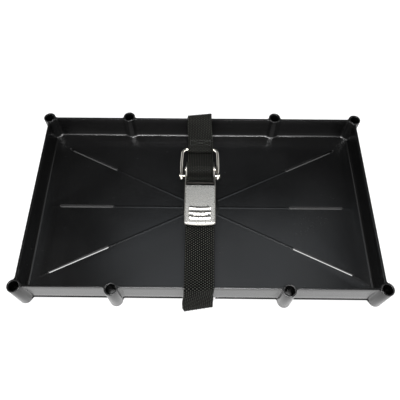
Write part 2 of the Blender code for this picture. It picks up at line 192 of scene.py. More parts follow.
# ---- buckle -----------------------------------------------------------------------------------
GRIP = Vector((7.6, 41.1))             # (y, z) of the grip bar
SHEET = 0.6
PIN_R = 2.5
PIN_END_R = 1.5
FRAME_DROP = 6.4
EAR_IN = 12.4
FLANGE_IN = EAR_IN + SHEET + GAP
FLANGE_OUT = FLANGE_IN + SHEET
BEND_R = 1.1                           # outside of the lever's long bends
LEVER_REAR = 2.5
LEVER_FRONT = -35.4
LEVER_BOW = 0.9                        # its front edge bulges forward in the middle
LEVER_REAR_Z = 46.0
LEVER_FRONT_Z = 43.4
LEVER_FOOT_Z = 39.6
LEVER_CORNER_R = 2.4                   # front corners, seen from above
LIP_R = 2.2
ARM_R = 3.4
ARM_START = HINGE.x - 0.6              # where the plate's slope meets the arms' round ends
GRIP_R = 1.8
GRIP_END_R = 1.0
RIB_YS = (-28.8, -24.4, -19.8)
RIB_HALF = 10.2
RIB_WIDTH = 3.3
RIB_RISE = 0.22
RIB_BOW = 0.9
RIB_SINK = 0.1                         # how far a rib's long edges lie below the plate's surface
PIN_HEAD_R = 2.2
PIN_HEAD_T = 0.4
KNURL_DEPTH = 0.16
KNURLS = 9                             # crossing helices each way round the grip bar
KNURL_TWIST = 3.4                      # radians per millimetre
RIVET_R = 1.1
RIVET_HEAD_R = 2.2
RIVET_HEAD_T = 0.9
WIRE_R = 1.45
WIRE_END = 1.2                         # length of the rounding at the wire's ends
LEG_X = 16.6
LEG_BOW = 0.45
BAIL_CORNER_R = 5.0
EYE_R = 2.5
BAIL_SLIP = -0.6                       # the bail has slid to the left on its rivets
TAIL = 4.3                             # how far the bail's wire runs on past its rivets


# ---- mesh tools -------------------------------------------------------------------------------
def add_mesh(name, verts, faces):
    """A mesh object from points in millimetres, with its faces turned outward."""
    mesh = bpy.data.meshes.new(name)
    mesh.from_pydata([tuple(float(c) * MM for c in v) for v in verts], [], faces)
    bm = bmesh.new()
    bm.from_mesh(mesh)
    bmesh.ops.recalc_face_normals(bm, faces=bm.faces)
    bm.to_mesh(mesh)
    bm.free()
    obj = bpy.data.objects.new(name, mesh)
    bpy.context.scene.collection.objects.link(obj)
    return obj


def loft(name, rings, closed=False):
    """A skin through rings of equal point counts: closed into a torus, or capped at its ends."""
    count = len(rings[0])
    rows = len(rings)
    verts = [point for ring in rings for point in ring]
    faces = []
    for row in range(rows if closed else rows - 1):
        here, after = row * count, (row + 1) % rows * count
        for i in range(count):
            j = (i + 1) % count
            faces.append((here + i, here + j, after + j, after + i))
    if not closed:
        faces.append(tuple(range(count)))
        faces.append(tuple(range((rows - 1) * count, rows * count)))
    return add_mesh(name, verts, faces)


def turned(name, profile, centre=(0, 0, 0), axis="Z", segments=64):
    """A turned solid from (radius, height) pairs, with its axis along Z or X through centre."""
    rings = []
    for radius, height in profile:
        ring = []
        for i in range(segments):
            angle = 2 * pi * i / segments
            a, b = max(radius, 0.001) * cos(angle), max(radius, 0.001) * sin(angle)
            ring.append((height, a, b) if axis == "X" else (a, b, height))
        rings.append([Vector(point) + Vector(centre) for point in ring])
    return loft(name, rings)


def join(objects, name):
    """One object from several that don't touch each other."""
    bm = bmesh.new()
    for obj in objects:
        obj.data.transform(obj.matrix_world)
        bm.from_mesh(obj.data)
        bpy.data.objects.remove(obj, do_unlink=True)
    mesh = bpy.data.meshes.new(name)
    bm.to_mesh(mesh)
    bm.free()
    made = bpy.data.objects.new(name, mesh)
    bpy.context.scene.collection.objects.link(made)
    return made


def settle(obj):
    """Replaces an object's mesh by what its modifiers make, and drops the modifiers."""
    bpy.context.view_layer.update()
    graph = bpy.context.evaluated_depsgraph_get()
    mesh = bpy.data.meshes.new_from_object(obj.evaluated_get(graph))
    obj.modifiers.clear()
    obj.data = mesh
    return obj


def combine(obj, other, operation):
    """A boolean with a closed mesh, which is used up."""
    modifier = obj.modifiers.new("combine", "BOOLEAN")
    modifier.operation = operation
    modifier.object = other
    modifier.solver = "MANIFOLD"
    settle(obj)
    bpy.data.objects.remove(other, do_unlink=True)
    return obj


def shade(obj, angle=35.0):
    """Smooth round faces, with edges sharper than the angle kept crisp."""
    obj.data.shade_smooth()
    obj.data.set_sharp_from_angle(angle=radians(angle))
    return obj


def soften_edges(obj, width, angle=35.0, segments=2):
    """Rounds every edge that turns by more than the angle."""
    bevel = obj.modifiers.new("edges", "BEVEL")
    bevel.width = width * MM
    bevel.segments = segments
    bevel.limit_method = "ANGLE"
    bevel.angle_limit = radians(angle)
    bevel.harden_normals = False
    return settle(obj)


def place(obj, mat, body, slot, *nodes):
    """Finishes a piece: its material, the body that it rides on and the CAD nodes it stands for."""
    obj.data.materials.clear()
    obj.data.materials.append(mat)
    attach(obj, body)
    if nodes:
        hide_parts(*nodes)
    return obj


def arc(centre, radius, start, end, steps):
    """Points on an arc in a plane, from one angle to another in degrees."""
    angles = [radians(start + (end - start) * i / steps) for i in range(steps + 1)]
    return [Vector((centre[0] + radius * cos(a), centre[1] + radius * sin(a))) for a in angles]


# ---- tray -------------------------------------------------------------------------------------
def tube_places():
    """(x, y) of the eight tubes: four corners and two on each long wall."""
    return [(x_side * x, y_side * y) for x, y in (CORNER_TUBE, MID_TUBE)
            for x_side in (-1, 1) for y_side in (-1, 1)]


def side_stops(half, bumps, coarse=7.0, fine=0.55, near=9.5):
    """Distances along a straight side, close together near the bumps."""
    stops = list(np.linspace(-half, half, int(2 * half / coarse)))
    for bump in bumps:
        stops = [s for s in stops if abs(s - bump) > near]
        stops += list(np.arange(bump - near, bump + near + fine / 2, fine))
    return sorted(stops)


def core_rays():
    """Rays square out of an inner rectangle, fanned round its corners, that every ring lies on."""
    core_x, core_y = HALF_X - CORE, HALF_Y - CORE
    long_side = side_stops(core_x, (-MID_TUBE[0], MID_TUBE[0]))
    short_side = side_stops(core_y, ())
    origins, directions = [], []
    corners = [(core_x, core_y), (-core_x, core_y), (-core_x, -core_y), (core_x, -core_y)]
    sides = [[(core_x, y) for y in short_side], [(-x, core_y) for x in long_side],
             [(-core_x, -y) for y in short_side], [(x, -core_y) for x in long_side]]
    fan = 60
    for number, (side, corner) in enumerate(zip(sides, corners)):
        heading = number * pi / 2
        for point in side:
            origins.append(point)
            directions.append((cos(heading), sin(heading)))
        for i in range(1, fan):
            turn = heading + i / fan * pi / 2
            origins.append(corner)
            directions.append((cos(turn), sin(turn)))
    return np.array(origins), np.array(directions)


RAY_START, RAY_WAY = core_rays()
TUBES = np.array(tube_places())


def box_distance(points, half_x, half_y, radius):
    past = np.abs(points) - (half_x - radius, half_y - radius)
    outside = np.hypot(np.maximum(past[:, 0], 0), np.maximum(past[:, 1], 0))
    return outside + np.minimum(past.max(axis=1), 0) - radius


def tube_distance(points):
    gaps = np.linalg.norm(points[:, None, :] - TUBES[None], axis=2)
    return gaps.min(axis=1) - (TUBE_R - TUBE_SKIN)


def smooth_min(a, b, reach):
    share = np.maximum(reach - np.abs(a - b), 0) / reach
    return np.minimum(a, b) - share * share * reach / 4


def outer_distance(points, inset):
    wall = box_distance(points, HALF_X - inset, HALF_Y - inset, CORNER_R)
    return smooth_min(wall, tube_distance(points), TUBE_BLEND)


def inner_distance(points, inset):
    wall = box_distance(points, HALF_X - inset, HALF_Y - inset, CORNER_R)
    return -smooth_min(-wall, tube_distance(points), TUBE_BLEND)


def ring(distance, inset, shrink, z):
    """The outline at a height: where each ray meets the wall, moved inward by shrink."""
    low = np.zeros(len(RAY_START))
    high = np.full(len(RAY_START), 3 * CORE)
    for _ in range(34):
        middle = (low + high) / 2
        inside = distance(RAY_START + RAY_WAY * middle[:, None], inset) + shrink < 0
        low = np.where(inside, middle, low)
        high = np.where(inside, high, middle)
    flat = RAY_START + RAY_WAY * low[:, None]
    return np.column_stack([flat, np.full(len(flat), z)])


def quarter(steps):
    return [pi / 2 * i / steps for i in range(steps + 1)]


def outer_wall():
    """(inset, z) of the outer face, from the foot's bead up to the rim's rounding."""
    bead_low = [(BEAD_INSET + BEAD_ROUND * (1 - sin(a)), FOOT + BEAD_ROUND * (1 - cos(a)))
                for a in quarter(3)]
    bead_high = [(BEAD_INSET + BEAD_ROUND * (1 - cos(a)), HEEL_Z - BEAD_ROUND * (1 - sin(a)))
                 for a in quarter(3)]
    heel = [(HEEL_INSET - HEEL_STEP, HEEL_Z), (HEEL_INSET, HEEL_Z + HEEL_RISE)]
    rise = np.linspace(0, 1, 5)[1:]
    heel += [(HEEL_INSET + (WAIST_INSET - HEEL_INSET) * t, HEEL_Z + (WAIST_Z - HEEL_Z) * t)
             for t in rise]
    face = [(WAIST_INSET + (RIM_INSET - WAIST_INSET) * t, WAIST_Z + (RIM - RIM_ROUND - WAIST_Z) * t)
            for t in rise]
    return bead_low + bead_high + heel + face


def tray_shell():
    """Walls, rim and floor as one skin, from under the floor round the rim to the floor's top."""
    pan_top = FLOOR - FLOOR_T
    rings = [ring(inner_distance, PAN_INSET, PAN_CHAMFER, pan_top),
             ring(inner_distance, PAN_INSET, 0, pan_top - PAN_CHAMFER),
             ring(inner_distance, PAN_INSET, 0, FOOT + FOOT_CHAMFER),
             ring(inner_distance, PAN_INSET, -FOOT_CHAMFER, FOOT)]
    rings += [ring(outer_distance, inset, 0, z) for inset, z in outer_wall()]
    rim_low = RIM - RIM_ROUND
    for turn in quarter(4)[1:]:
        rings.append(ring(outer_distance, RIM_INSET, RIM_ROUND * (1 - cos(turn)),
                          rim_low + RIM_ROUND * sin(turn)))
    inner_rim = RIM_INSET + WALL
    for turn in reversed(quarter(4)):
        rings.append(ring(inner_distance, inner_rim, -RIM_ROUND * (1 - cos(turn)),
                          rim_low + RIM_ROUND * sin(turn)))
    for share in (0.25, 0.5, 0.75, 1.0):
        z = rim_low + (FLOOR + FLOOR_FILLET - rim_low) * share
        rings.append(ring(inner_distance, inner_rim + INNER_DRAFT * share, 0, z))
    for turn in quarter(8)[1:]:
        rings.append(ring(inner_distance, inner_rim + INNER_DRAFT, FLOOR_FILLET * (1 - cos(turn)),
                          FLOOR + FLOOR_FILLET * (1 - sin(turn))))
    return loft("tray_moulding", rings)


def tubes():
    made = []
    for number, (x, y) in enumerate(tube_places()):
        profile = [(0, 0), (TUBE_HEEL_R - TUBE_HEEL_CHAMFER, 0), (TUBE_HEEL_R, TUBE_HEEL_CHAMFER),
                   (TUBE_R, TUBE_HEEL_Z)]
        profile += [(TUBE_R - TUBE_ROUND * (1 - cos(a)), TUBE_TOP - TUBE_ROUND * (1 - sin(a)))
                    for a in quarter(5)]
        made.append(turned(f"tube_{number}", profile + [(0, TUBE_TOP)], (x, y, 0)))
    return join(made, "tubes")


def bores():
    """The stepped holes down the tubes: a screw's hole, its ledge, and a wide bore above it."""
    made = []
    screw_mouth = SCREW_R + SCREW_CHAMFER
    for number, (x, y) in enumerate(tube_places()):
        profile = [(0, -2), (screw_mouth, -2), (screw_mouth, 0), (SCREW_R, SCREW_CHAMFER),
                   (SCREW_R, SCREW_SEAT), (BORE_R, SCREW_SEAT)]
        profile += [(BORE_R + MOUTH_ROUND * (1 - cos(a)), TUBE_TOP - MOUTH_ROUND * (1 - sin(a)))
                    for a in quarter(4)]
        profile += [(BORE_R + MOUTH_ROUND, TUBE_TOP + 2), (0, TUBE_TOP + 2)]
        made.append(turned(f"bore_{number}", profile, (x, y, 0)))
    return join(made, "bores")


def stadium_ring(start, end, half_width, z):
    along = (end - start).normalized()
    turn = degrees(atan2(along.y, along.x))
    flat = arc(end, half_width, turn - 90, turn + 90, 14)
    flat += arc(start, half_width, turn + 90, turn + 270, 14)
    return [(point.x, point.y, z) for point in flat]


def bar(name, start, end, levels):
    """A bar with round ends from (half width, z) levels."""
    return loft(name, [stadium_ring(start, end, half, z) for half, z in levels])


def slot_runs():
    """(start, end) of the middles of the six radial slots, each (x, y)."""
    runs = []
    for side in (-1, 1):
        for angle in (-SLOT_ANGLE, 0.0, SLOT_ANGLE):
            runs.append([Vector((side * x, x * tan(angle))) for x in (SLOT_INNER_X, SLOT_OUTER_X)])
    return runs


def dome_levels(half, base, top, steps=5):
    """Levels of a bar whose sides rise from the floor and roll over to a flat crown."""
    height = top - FLOOR
    reach = min(half * 0.85, height * 2.2)
    levels = [(half, base), (half, FLOOR)]
    levels += [(half - reach * (1 - cos(a)), FLOOR + height * sin(a)) for a in quarter(steps)[1:]]
    return levels


def leaders():
    """Low, softly rounded ribs."""
    made = []
    half = LEADER_W / 2
    soft = [(half * (1 - t), FLOOR + LEADER_H * (1 - cos(pi * t)) / 2) for t in np.linspace(0, 0.9, 7)]
    for number, (start, end) in enumerate(slot_runs()):
        inner = start.normalized() * LEADER_START
        outer = end + (end - start).normalized() * LEADER_END
        made.append(bar(f"leader_{number}", inner, outer, [(half, FLOOR - 0.6)] + soft))
    return join(made, "leaders")


def lips():
    """The low raised edges round the slots."""
    levels = dome_levels(SLOT_W / 2 + LIP_W, FLOOR - 0.7, FLOOR + LIP_H)
    made = [bar(f"lip_{number}", start, end, levels)
            for number, (start, end) in enumerate(slot_runs())]
    return join(made, "lips")


def collar_depth(start):
    """Depth of the collar under the slot that starts here, by where it lies along Y."""
    return COLLAR_DEPTHS[1 + int(np.sign(round(start.y)))]


def collars():
    """The short walls that stand under the floor round each slot."""
    half = SLOT_W / 2 + COLLAR_T
    made = []
    for number, (start, end) in enumerate(slot_runs()):
        low = FLOOR - collar_depth(start)
        levels = [(half - COLLAR_CHAMFER, low), (half, low + COLLAR_CHAMFER), (half, FLOOR - 1)]
        made.append(bar(f"collar_{number}", start, end, levels))
    return join(made, "collars")


def slots():
    """What is cut out for the slots, flared a little at both ends."""
    half = SLOT_W / 2
    mouth = [(half + SLOT_ROUND * (1 - cos(a)), FLOOR - SLOT_ROUND_LOW + SLOT_ROUND * sin(a))
             for a in quarter(4)]
    mouth.append((half + SLOT_ROUND + 0.05, FLOOR + LIP_H + 1.5))
    made = []
    for number, (start, end) in enumerate(slot_runs()):
        low = FLOOR - collar_depth(start)
        levels = [(half + 0.3, low - 1), (half, low + 0.4)] + mouth
        made.append(bar(f"slot_{number}", start, end, levels))
    return join(made, "slots")


def hub():
    """The low round boss in the middle, where the plastic entered the mould."""
    profile = [(0, FLOOR - 0.8), (HUB_R, FLOOR - 0.8), (HUB_R, FLOOR)]
    profile += [(HUB_R - HUB_EDGE * (1 - cos(a)), FLOOR + HUB_H * sin(a)) for a in quarter(5)[1:]]
    return turned("hub", profile + [(0, FLOOR + HUB_H)], segments=96)


def underside_ribs():
    reach = HALF_Y - PAN_INSET + 1.2
    levels = [(RIB_T / 2 - 0.4, 0), (RIB_T / 2 - 0.1, 0.15), (RIB_T / 2, 0.5), (RIB_T / 2, FLOOR - 1)]
    made = [bar(f"rib_{number}", Vector((x, -reach)), Vector((x, reach)), levels)
            for number, x in enumerate(RIB_PLACES)]
    return join(made, "ribs")


def strap_notch():
    """The opening in the feet of the long walls that the strap runs through."""
    reach = HALF_Y + TUBE_R
    corners = arc((NOTCH_HALF - NOTCH_R, NOTCH_TOP - NOTCH_R), NOTCH_R, 0, 90, 5)
    corners += arc((-NOTCH_HALF + NOTCH_R, NOTCH_TOP - NOTCH_R), NOTCH_R, 90, 180, 5)
    outline = [Vector((NOTCH_HALF, -1))] + corners + [Vector((-NOTCH_HALF, -1))]
    return loft("notch", [[(point.x, y, point.y) for point in outline] for y in (-reach, reach)])


def tray(mat):
    obj = tray_shell()
    for piece in (leaders(), hub(), lips(), collars(), tubes(), underside_ribs()):
        combine(obj, piece, "UNION")
    for cutter in (slots(), bores(), strap_notch()):
        combine(obj, cutter, "DIFFERENCE")
    shade(obj, 30)
    place(obj, mat, "base", "moulded_black", "tray")


# ---- webbing ----------------------------------------------------------------------------------
def rounded_path(stops, steps=7):
    """A line through stops (y, z, radius), with each corner rounded to its radius."""
    corners = [Vector(stop[:2]) for stop in stops]
    path = [corners[0]]
    for before, here, after, stop in zip(corners, corners[1:], corners[2:], stops[1:]):
        back, ahead = (before - here).normalized(), (after - here).normalized()
        half = acos(max(-1.0, min(1.0, back.dot(ahead)))) / 2
        reach = min(stop[2] / max(0.001, tan(half)),
                    0.49 * (before - here).length, 0.49 * (after - here).length)
        entry, leave = here + back * reach, here + ahead * reach
        for i in range(steps + 1):
            t = i / steps
            path.append(entry * (1 - t) ** 2 + here * 2 * t * (1 - t) + leave * t ** 2)
    path.append(corners[-1])
    return path


def crest_height():
    """Middle of the webbing over the rear rim, where it lies on its own free end."""
    return RIM + GAP + WEB_T + GAP + WEB_T / 2


def span_way():
    """Unit vector (y, z) along the rear span, from the bail's bar to the rear rim."""
    return (Vector((SPAN_END, crest_height())) - BAR).normalized()


def wrap_path():
    """From the rear rim round and under the tray, up to the buckle, and back to the rear rim."""
    rim_web = RIM + GAP + WEB_T / 2
    outside = HALF_Y - RIM_INSET
    hinge_y, hinge_z = HINGE
    over_pin = hinge_z + PIN_R + GAP + WEB_T / 2
    base_web = hinge_z - FRAME_DROP + SHEET + GAP + WEB_T / 2
    under = [(BEND_Y, STRAP_UNDER, 4.5), (-FOLD_Y, STRAP_UNDER, 2.2)]
    rear = [(SPAN_END - 0.3, crest_height() + 0.02, 0), (outside + 2.6, crest_height() - 0.2, 3.0),
            (outside + 5.2, SAG_Z, 12.0), (BULGE_Y, BULGE_Z, 10.0)]
    front = [(-BULGE_Y, BULGE_Z, 10.0), (-outside - 3.6, SAG_Z, 12.0), (-outside - 1.4, rim_web, 2.6),
             (-outside + 6.0, rim_web + 0.2, 20.0)]
    buckle = [(0.0, base_web, 25.0), (hinge_y - 5.0, base_web, 2.0), (hinge_y - 3.7, over_pin, 3.0),
              (hinge_y + 0.6, over_pin + 0.5, 3.4), (hinge_y + 7.0, hinge_z + 0.4, 9.0)]
    tail = [(BAR.x - 2.0, BAR.y - 4.6, 12.0), (outside - 8.0, rim_web + 0.1, 20.0),
            (outside + 0.9, rim_web, 2.0), (outside + 1.9, TAIL_Z, 0)]
    return rounded_path(rear + under + front + buckle + tail)


def resample(path, spacing):
    """Evenly spaced points on a path, with the distance of each from its start."""
    line = np.array([tuple(point) for point in path])
    runs = np.concatenate([[0], np.cumsum(np.linalg.norm(np.diff(line, axis=0), axis=1))])
    count = int(round(runs[-1] / spacing)) + 1
    along = np.linspace(0, runs[-1], count)
    spots = np.column_stack([np.interp(along, runs, line[:, i]) for i in (0, 1)])
    return spots, along


def knuckle(run, across):
    """Height of the weave from 0 to 1 at a place along and across: staggered oval knuckles."""
    column = np.floor(across)
    a = 2 * (across - column) - 1
    b = 2 * ((run / PICK + 0.5 * (column % 2)) % 1.0) - 1
    across_fall, along_fall = KNUCKLE_FALL
    return np.sqrt(np.maximum(0.0, 1 - across_fall * a * a - along_fall * b * b))


def lie_straight(spots):
    """No skew, lift, rise or push, and the plain width, at each station of a band."""
    still = np.zeros(len(spots))
    return still + WEB_X, still, still, still, still, still + WEB_W


def woven_band(name, path, lie=lie_straight, start=0.0):
    """Webbing with real knuckles on both faces, laid along a path of (y, z) points.

    lie gives each station's shift in x, how far its right edge is moved in y and lifted in z,
    how far the whole station rises and is moved in y, and its width. start is how far along the
    weave the path begins.
    """
    spots, run = resample(path, PICK / PICK_STEPS)
    way = np.gradient(spots, axis=0)
    way /= np.linalg.norm(way, axis=1)[:, None]
    normal = np.column_stack([-way[:, 1], way[:, 0]])
    shift, skew, lift, rise, push, width = lie(spots)
    cells = COLUMN_STEPS * COLUMNS
    columns = np.linspace(0, COLUMNS, cells + 1)
    columns[-1] -= 1e-6
    core = WEB_T / 2 - KNUCKLE_H
    rings, heights = [], []
    for i, (y, z) in enumerate(spots):
        loop = []
        for face, order in ((1, range(cells + 1)), (-1, range(cells, -1, -1))):
            weave = run[i] + start + (0 if face > 0 else PICK / 2)
            for k in order:
                u = 2 * k / cells - 1
                bump = float(knuckle(weave, columns[k]))
                thin = SELVAGE if k in (0, cells) else 1.0
                tall = face * thin * (core + KNUCKLE_H * bump)
                side_y = y + push[i] + skew[i] * u
                side_z = z + rise[i] + lift[i] * (1 + u) / 2
                loop.append((shift[i] + u * width[i] / 2, side_y + normal[i][0] * tall,
                             side_z + normal[i][1] * tall))
                heights.append(bump)
        rings.append(loop)
    obj = loft(name, rings)
    # The material paints a highlight on the knuckle tops from this height.
    knuckles = obj.data.attributes.new("knuckle", "FLOAT", "POINT")
    knuckles.data.foreach_set("value", np.array(heights, np.float32))
    obj.data.shade_smooth()
    return obj


def ease(value, low, high):
    """0 below low, 1 above high, and smooth between them."""
    t = np.clip((value - low) / (high - low), 0, 1)
    return t * t * (3 - 2 * t)


def drift(y):
    """How much of the drift to the left there is, growing from the buckle to the rear rim."""
    return ease(y, 45, 84)


def crest_lie(y):
    """(lean, rise of the whole strap, further lift of its right edge) over the rear rim."""
    crest = ease(y, 78, 86)
    return CREST_LEAN * crest, CREST_RISE * crest, CREST_LIFT * crest


def wrap_lie(spots):
    """The slack strap stands out askew at the front, and rises over the rear rim."""
    y, z = spots[:, 0], spots[:, 1]
    step = PICK / PICK_STEPS
    tail = np.arange(len(spots)) * step > len(spots) * step - TAIL_LENGTH
    front = ease(-y, 88.5, 95.0)
    rear = ease(y, 88.5, 95.0)
    high = ease(z, 24, 35) * ~tail
    near_foot = ease(z, 2, 10) * ease(-z, -30, -18)
    shift = WEB_X + drift(y) * (REAR_DRIFT * ease(z, 6, 26) + TAIL_DRIFT * tail)
    shift = shift + (FRONT_SHIFT + FOOT_SHIFT * near_foot) * front
    lean, rise, lift = crest_lie(y)
    skew = FRONT_SKEW * front + REAR_SKEW * rear + lean * high
    width = WEB_W + (SLACK_W - WEB_W) * ease(-y, 0, 12)
    return shift, skew, lift * high, rise * high, REAR_PUSH * rear, width


def span_lie(spots):
    """The span drifts to the left and rises towards the rear rim."""
    y = spots[:, 0]
    lean, rise, lift = crest_lie(y)
    return WEB_X + REAR_DRIFT * drift(y), lean, lift, rise, 0 * y, 0 * y + WEB_W


def loop_path():
    """From the end of the sewn part, round the bail's bar and back under itself."""
    along = span_way()
    up = Vector((-along.y, along.x))
    layer = WEB_T / 2 + 0.02
    tilt = degrees(atan2(along.y, along.x))
    end = BAR + along * LOOP_LENGTH
    around = WIRE_R + GAP + WEB_T / 2
    path = [end + up * layer, BAR + along * 5.5 + up * layer]
    path += arc(BAR, around, tilt + 62, tilt + 298, 24)
    path += [BAR + along * 5.5 - up * layer, end - up * layer]
    return path


def strap_wrap(mat):
    obj = woven_band("webbing_wrap", wrap_path(), wrap_lie)
    place(obj, mat, "base", "webbing", "strap_wrap")


def strap_span(mat):
    """The span from the loop to the rear rim."""
    start = BAR + span_way() * (LOOP_LENGTH - SPAN_OVERLAP)
    path = [start, Vector((SPAN_END, crest_height()))]
    obj = woven_band("webbing_rear_span", path, span_lie, start=0.4 * PICK)
    place(obj, mat, "base", "webbing", "strap_rear_span")
    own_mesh(obj)


def strap_loop(mat):
    obj = woven_band("webbing_loop", loop_path())
    place(obj, mat, "strap_end", "webbing", "strap_loop")


def stitching(mat):
    """Rows of thread through the two layers of the loop, sewn as a box with a cross."""
    along = span_way()
    up = Vector((-along.y, along.x))
    near, far = 4.2, LOOP_LENGTH - 1.0
    half = WEB_W / 2 - STITCH_INSET
    corners = [Vector(corner) for corner in ((-half, near), (half, near), (-half, far), (half, far))]
    stitches = []
    for one, other in ((0, 1), (2, 3), (0, 2), (1, 3), (0, 3), (1, 2)):
        first, last = corners[one], corners[other]
        count = max(2, int((last - first).length / STITCH_PITCH))
        for i in range(count):
            a = first.lerp(last, (i + 0.14) / count)
            b = first.lerp(last, (i + 0.86) / count)
            stitches.append(thread(f"stitch_{len(stitches)}", a, b, along, up))
    obj = join(stitches, "loop_stitching")
    shade(obj, 60)
    place(obj, mat, "strap_end", "webbing")


def thread(name, a, b, along, up):
    """One stitch: a short round thread that dips at both ends. a and b are (x, run) places."""
    rings = []
    top = WEB_T + 0.05
    way = Vector((b.x - a.x, (b.y - a.y) * along.x, (b.y - a.y) * along.y)).normalized()
    rise = Vector((0, up.x, up.y))
    side = way.cross(rise)
    for i in range(7):
        t = i / 6
        spot = a.lerp(b, t)
        base = BAR + along * spot.y + up * (top + 0.16 * sin(pi * t) - 0.1)
        thick = THREAD_R * (0.45 + 0.55 * sin(pi * t))
        centre = Vector((WEB_X + spot.x, base.x, base.y))
        rings.append([centre + (side * cos(q) + rise * sin(q)) * thick
                      for q in (2 * pi * n / 8 for n in range(8))])
    return loft(name, rings)


# ---- buckle -----------------------------------------------------------------------------------
def lever_top(y):
    """Height of the lever: its rounded front lip, its plate, then its arms round the hinge."""
    lip = LEVER_FRONT + LIP_R
    if y < lip:
        return LEVER_FRONT_Z - LIP_R + sqrt(max(0.0, LIP_R ** 2 - (y - lip) ** 2))
    if y > ARM_START:
        return HINGE.y + sqrt(max(0.0, ARM_R ** 2 - (y - HINGE.x) ** 2))
    return float(np.interp(y, (lip, LEVER_REAR, ARM_START),
                           (LEVER_FRONT_Z, LEVER_REAR_Z, HINGE.y + ARM_R - 0.05)))


def lever_foot(y):
    """Height of the lower edge of the lever's flanges."""
    if y > HINGE.x + 0.6:
        return HINGE.y - sqrt(max(0.0, ARM_R ** 2 - (y - HINGE.x) ** 2))
    return float(np.interp(y, (LEVER_FRONT, LEVER_FRONT + 0.8, LEVER_FRONT + 4, 12, HINGE.x + 0.6),
                           (LEVER_FRONT_Z - LIP_R, LEVER_FOOT_Z + 0.6, LEVER_FOOT_Z, LEVER_FOOT_Z - 0.6,
                            HINGE.y - ARM_R + 0.05)))


def lever_half_width(y):
    """Half width, drawn in at the rounded front corners."""
    past = max(0.0, LEVER_CORNER_R - (y - LEVER_FRONT))
    return FLANGE_OUT - LEVER_CORNER_R + sqrt(max(0.0, LEVER_CORNER_R ** 2 - past ** 2))


def channel_ring(y, half, top, foot, radius):
    """A cross-section with two rounded upper corners."""
    radius = min(radius, 0.45 * (top - foot))
    flat = [Vector((half, foot))] + arc((half - radius, top - radius), radius, 0, 90, 6)
    flat += [Vector((half * t, top)) for t in np.linspace(0.85, -0.85, 15)]
    flat += arc((radius - half, top - radius), radius, 90, 180, 6) + [Vector((-half, foot))]
    bow = LEVER_BOW * min(1.0, max(0.0, (LEVER_FRONT + 5 - y) / 5))
    return [(WEB_X + point.x, y + bow * ((point.x / half) ** 2 - 0.5), point.y) for point in flat]


def grip_rib(y):
    """A rib for the fingers: rounded, bowed towards the front and tapering at its ends."""
    rings = []
    for t in np.linspace(-1, 1, 33):
        size = sqrt(max(0.0, 1 - abs(t) ** 7)) * 0.97 + 0.03
        middle = y + RIB_BOW * t * t
        shape = [(cos(a), (RIB_RISE + RIB_SINK) * size * sin(a) ** 2 - RIB_SINK)
                 for a in (pi * i / 16 for i in range(17))]
        shape += [(-0.9, -0.3), (0.9, -0.3)]
        section = [(middle + RIB_WIDTH / 2 * size * u, h) for u, h in shape]
        rings.append([(WEB_X + t * RIB_HALF, v, lever_top(v) + h) for v, h in section])
    return loft(f"rib_{y:.0f}", rings)


def cross_hole(centre, radius):
    """A cutter for a hole right through the buckle, along X."""
    reach = 30
    profile = [(0, -reach), (radius, -reach), (radius, reach), (0, reach)]
    return turned("hole", profile, (0, *centre), "X", 32)


def lever(mat):
    """A stamped channel: a plate with ribs in front, and only its two flanges behind that."""
    stations = [LEVER_FRONT + LIP_R * (1 - cos(a)) for a in quarter(9)[1:]]
    stations += list(np.linspace(LEVER_FRONT + LIP_R + 0.5, ARM_START, 30))
    stations += [HINGE.x + ARM_R * sin(a) for a in np.linspace(0, 1.45, 9)]
    outer = [channel_ring(y, lever_half_width(y), lever_top(y), lever_foot(y), BEND_R)
             for y in stations]
    obj = loft("lever_sheet", outer)
    for y in RIB_YS:
        combine(obj, grip_rib(y), "UNION")
    inner = [y for y in stations if LEVER_FRONT + 1.2 < y < HINGE.x]
    below, above = 30, 60
    hollow = [channel_ring(y, min(FLANGE_IN, lever_half_width(y - 0.8) - SHEET),
                           min(lever_top(y - 0.4), lever_top(y)) - SHEET, below, BEND_R - SHEET)
              for y in inner]
    hollow.append([(x, HINGE.x + 10, z) for x, y, z in hollow[-1]])
    combine(obj, loft("hollow", hollow), "DIFFERENCE")
    corners = ((-FLANGE_IN, below), (FLANGE_IN, below), (FLANGE_IN, above), (-FLANGE_IN, above))
    gap = [[(WEB_X + x, y, z) for x, z in corners] for y in (LEVER_REAR + 0.3, HINGE.x + 12)]
    combine(obj, loft("gap", gap), "DIFFERENCE")
    for centre, radius in ((HINGE, PIN_END_R), (PIVOT, RIVET_R), (GRIP, GRIP_END_R)):
        combine(obj, cross_hole(centre, radius + GAP), "DIFFERENCE")
    shade(obj, 40)
    place(obj, mat, "lever", "stainless_sheet", "lever")


def softened(name, width, mat, body, slot):
    """A plain part of the model with its sharp edges rounded."""
    mesh = frame["nodes"][name].data.copy()
    mesh.transform(frame["nodes"][name].matrix_world)
    bm = bmesh.new()
    bm.from_mesh(mesh)
    bmesh.ops.remove_doubles(bm, verts=bm.verts, dist=0.01 * MM)
    bmesh.ops.dissolve_limit(bm, angle_limit=radians(1), verts=bm.verts, edges=bm.edges)
    bm.to_mesh(mesh)
    bm.free()
    obj = bpy.data.objects.new(f"{name}_soft", mesh)
    bpy.context.scene.collection.objects.link(obj)
    shade(soften_edges(obj, width, 40), 50)
    obj.data.transform(Matrix.Translation((WEB_X * MM, 0, 0)))
    place(obj, mat, body, slot, name)


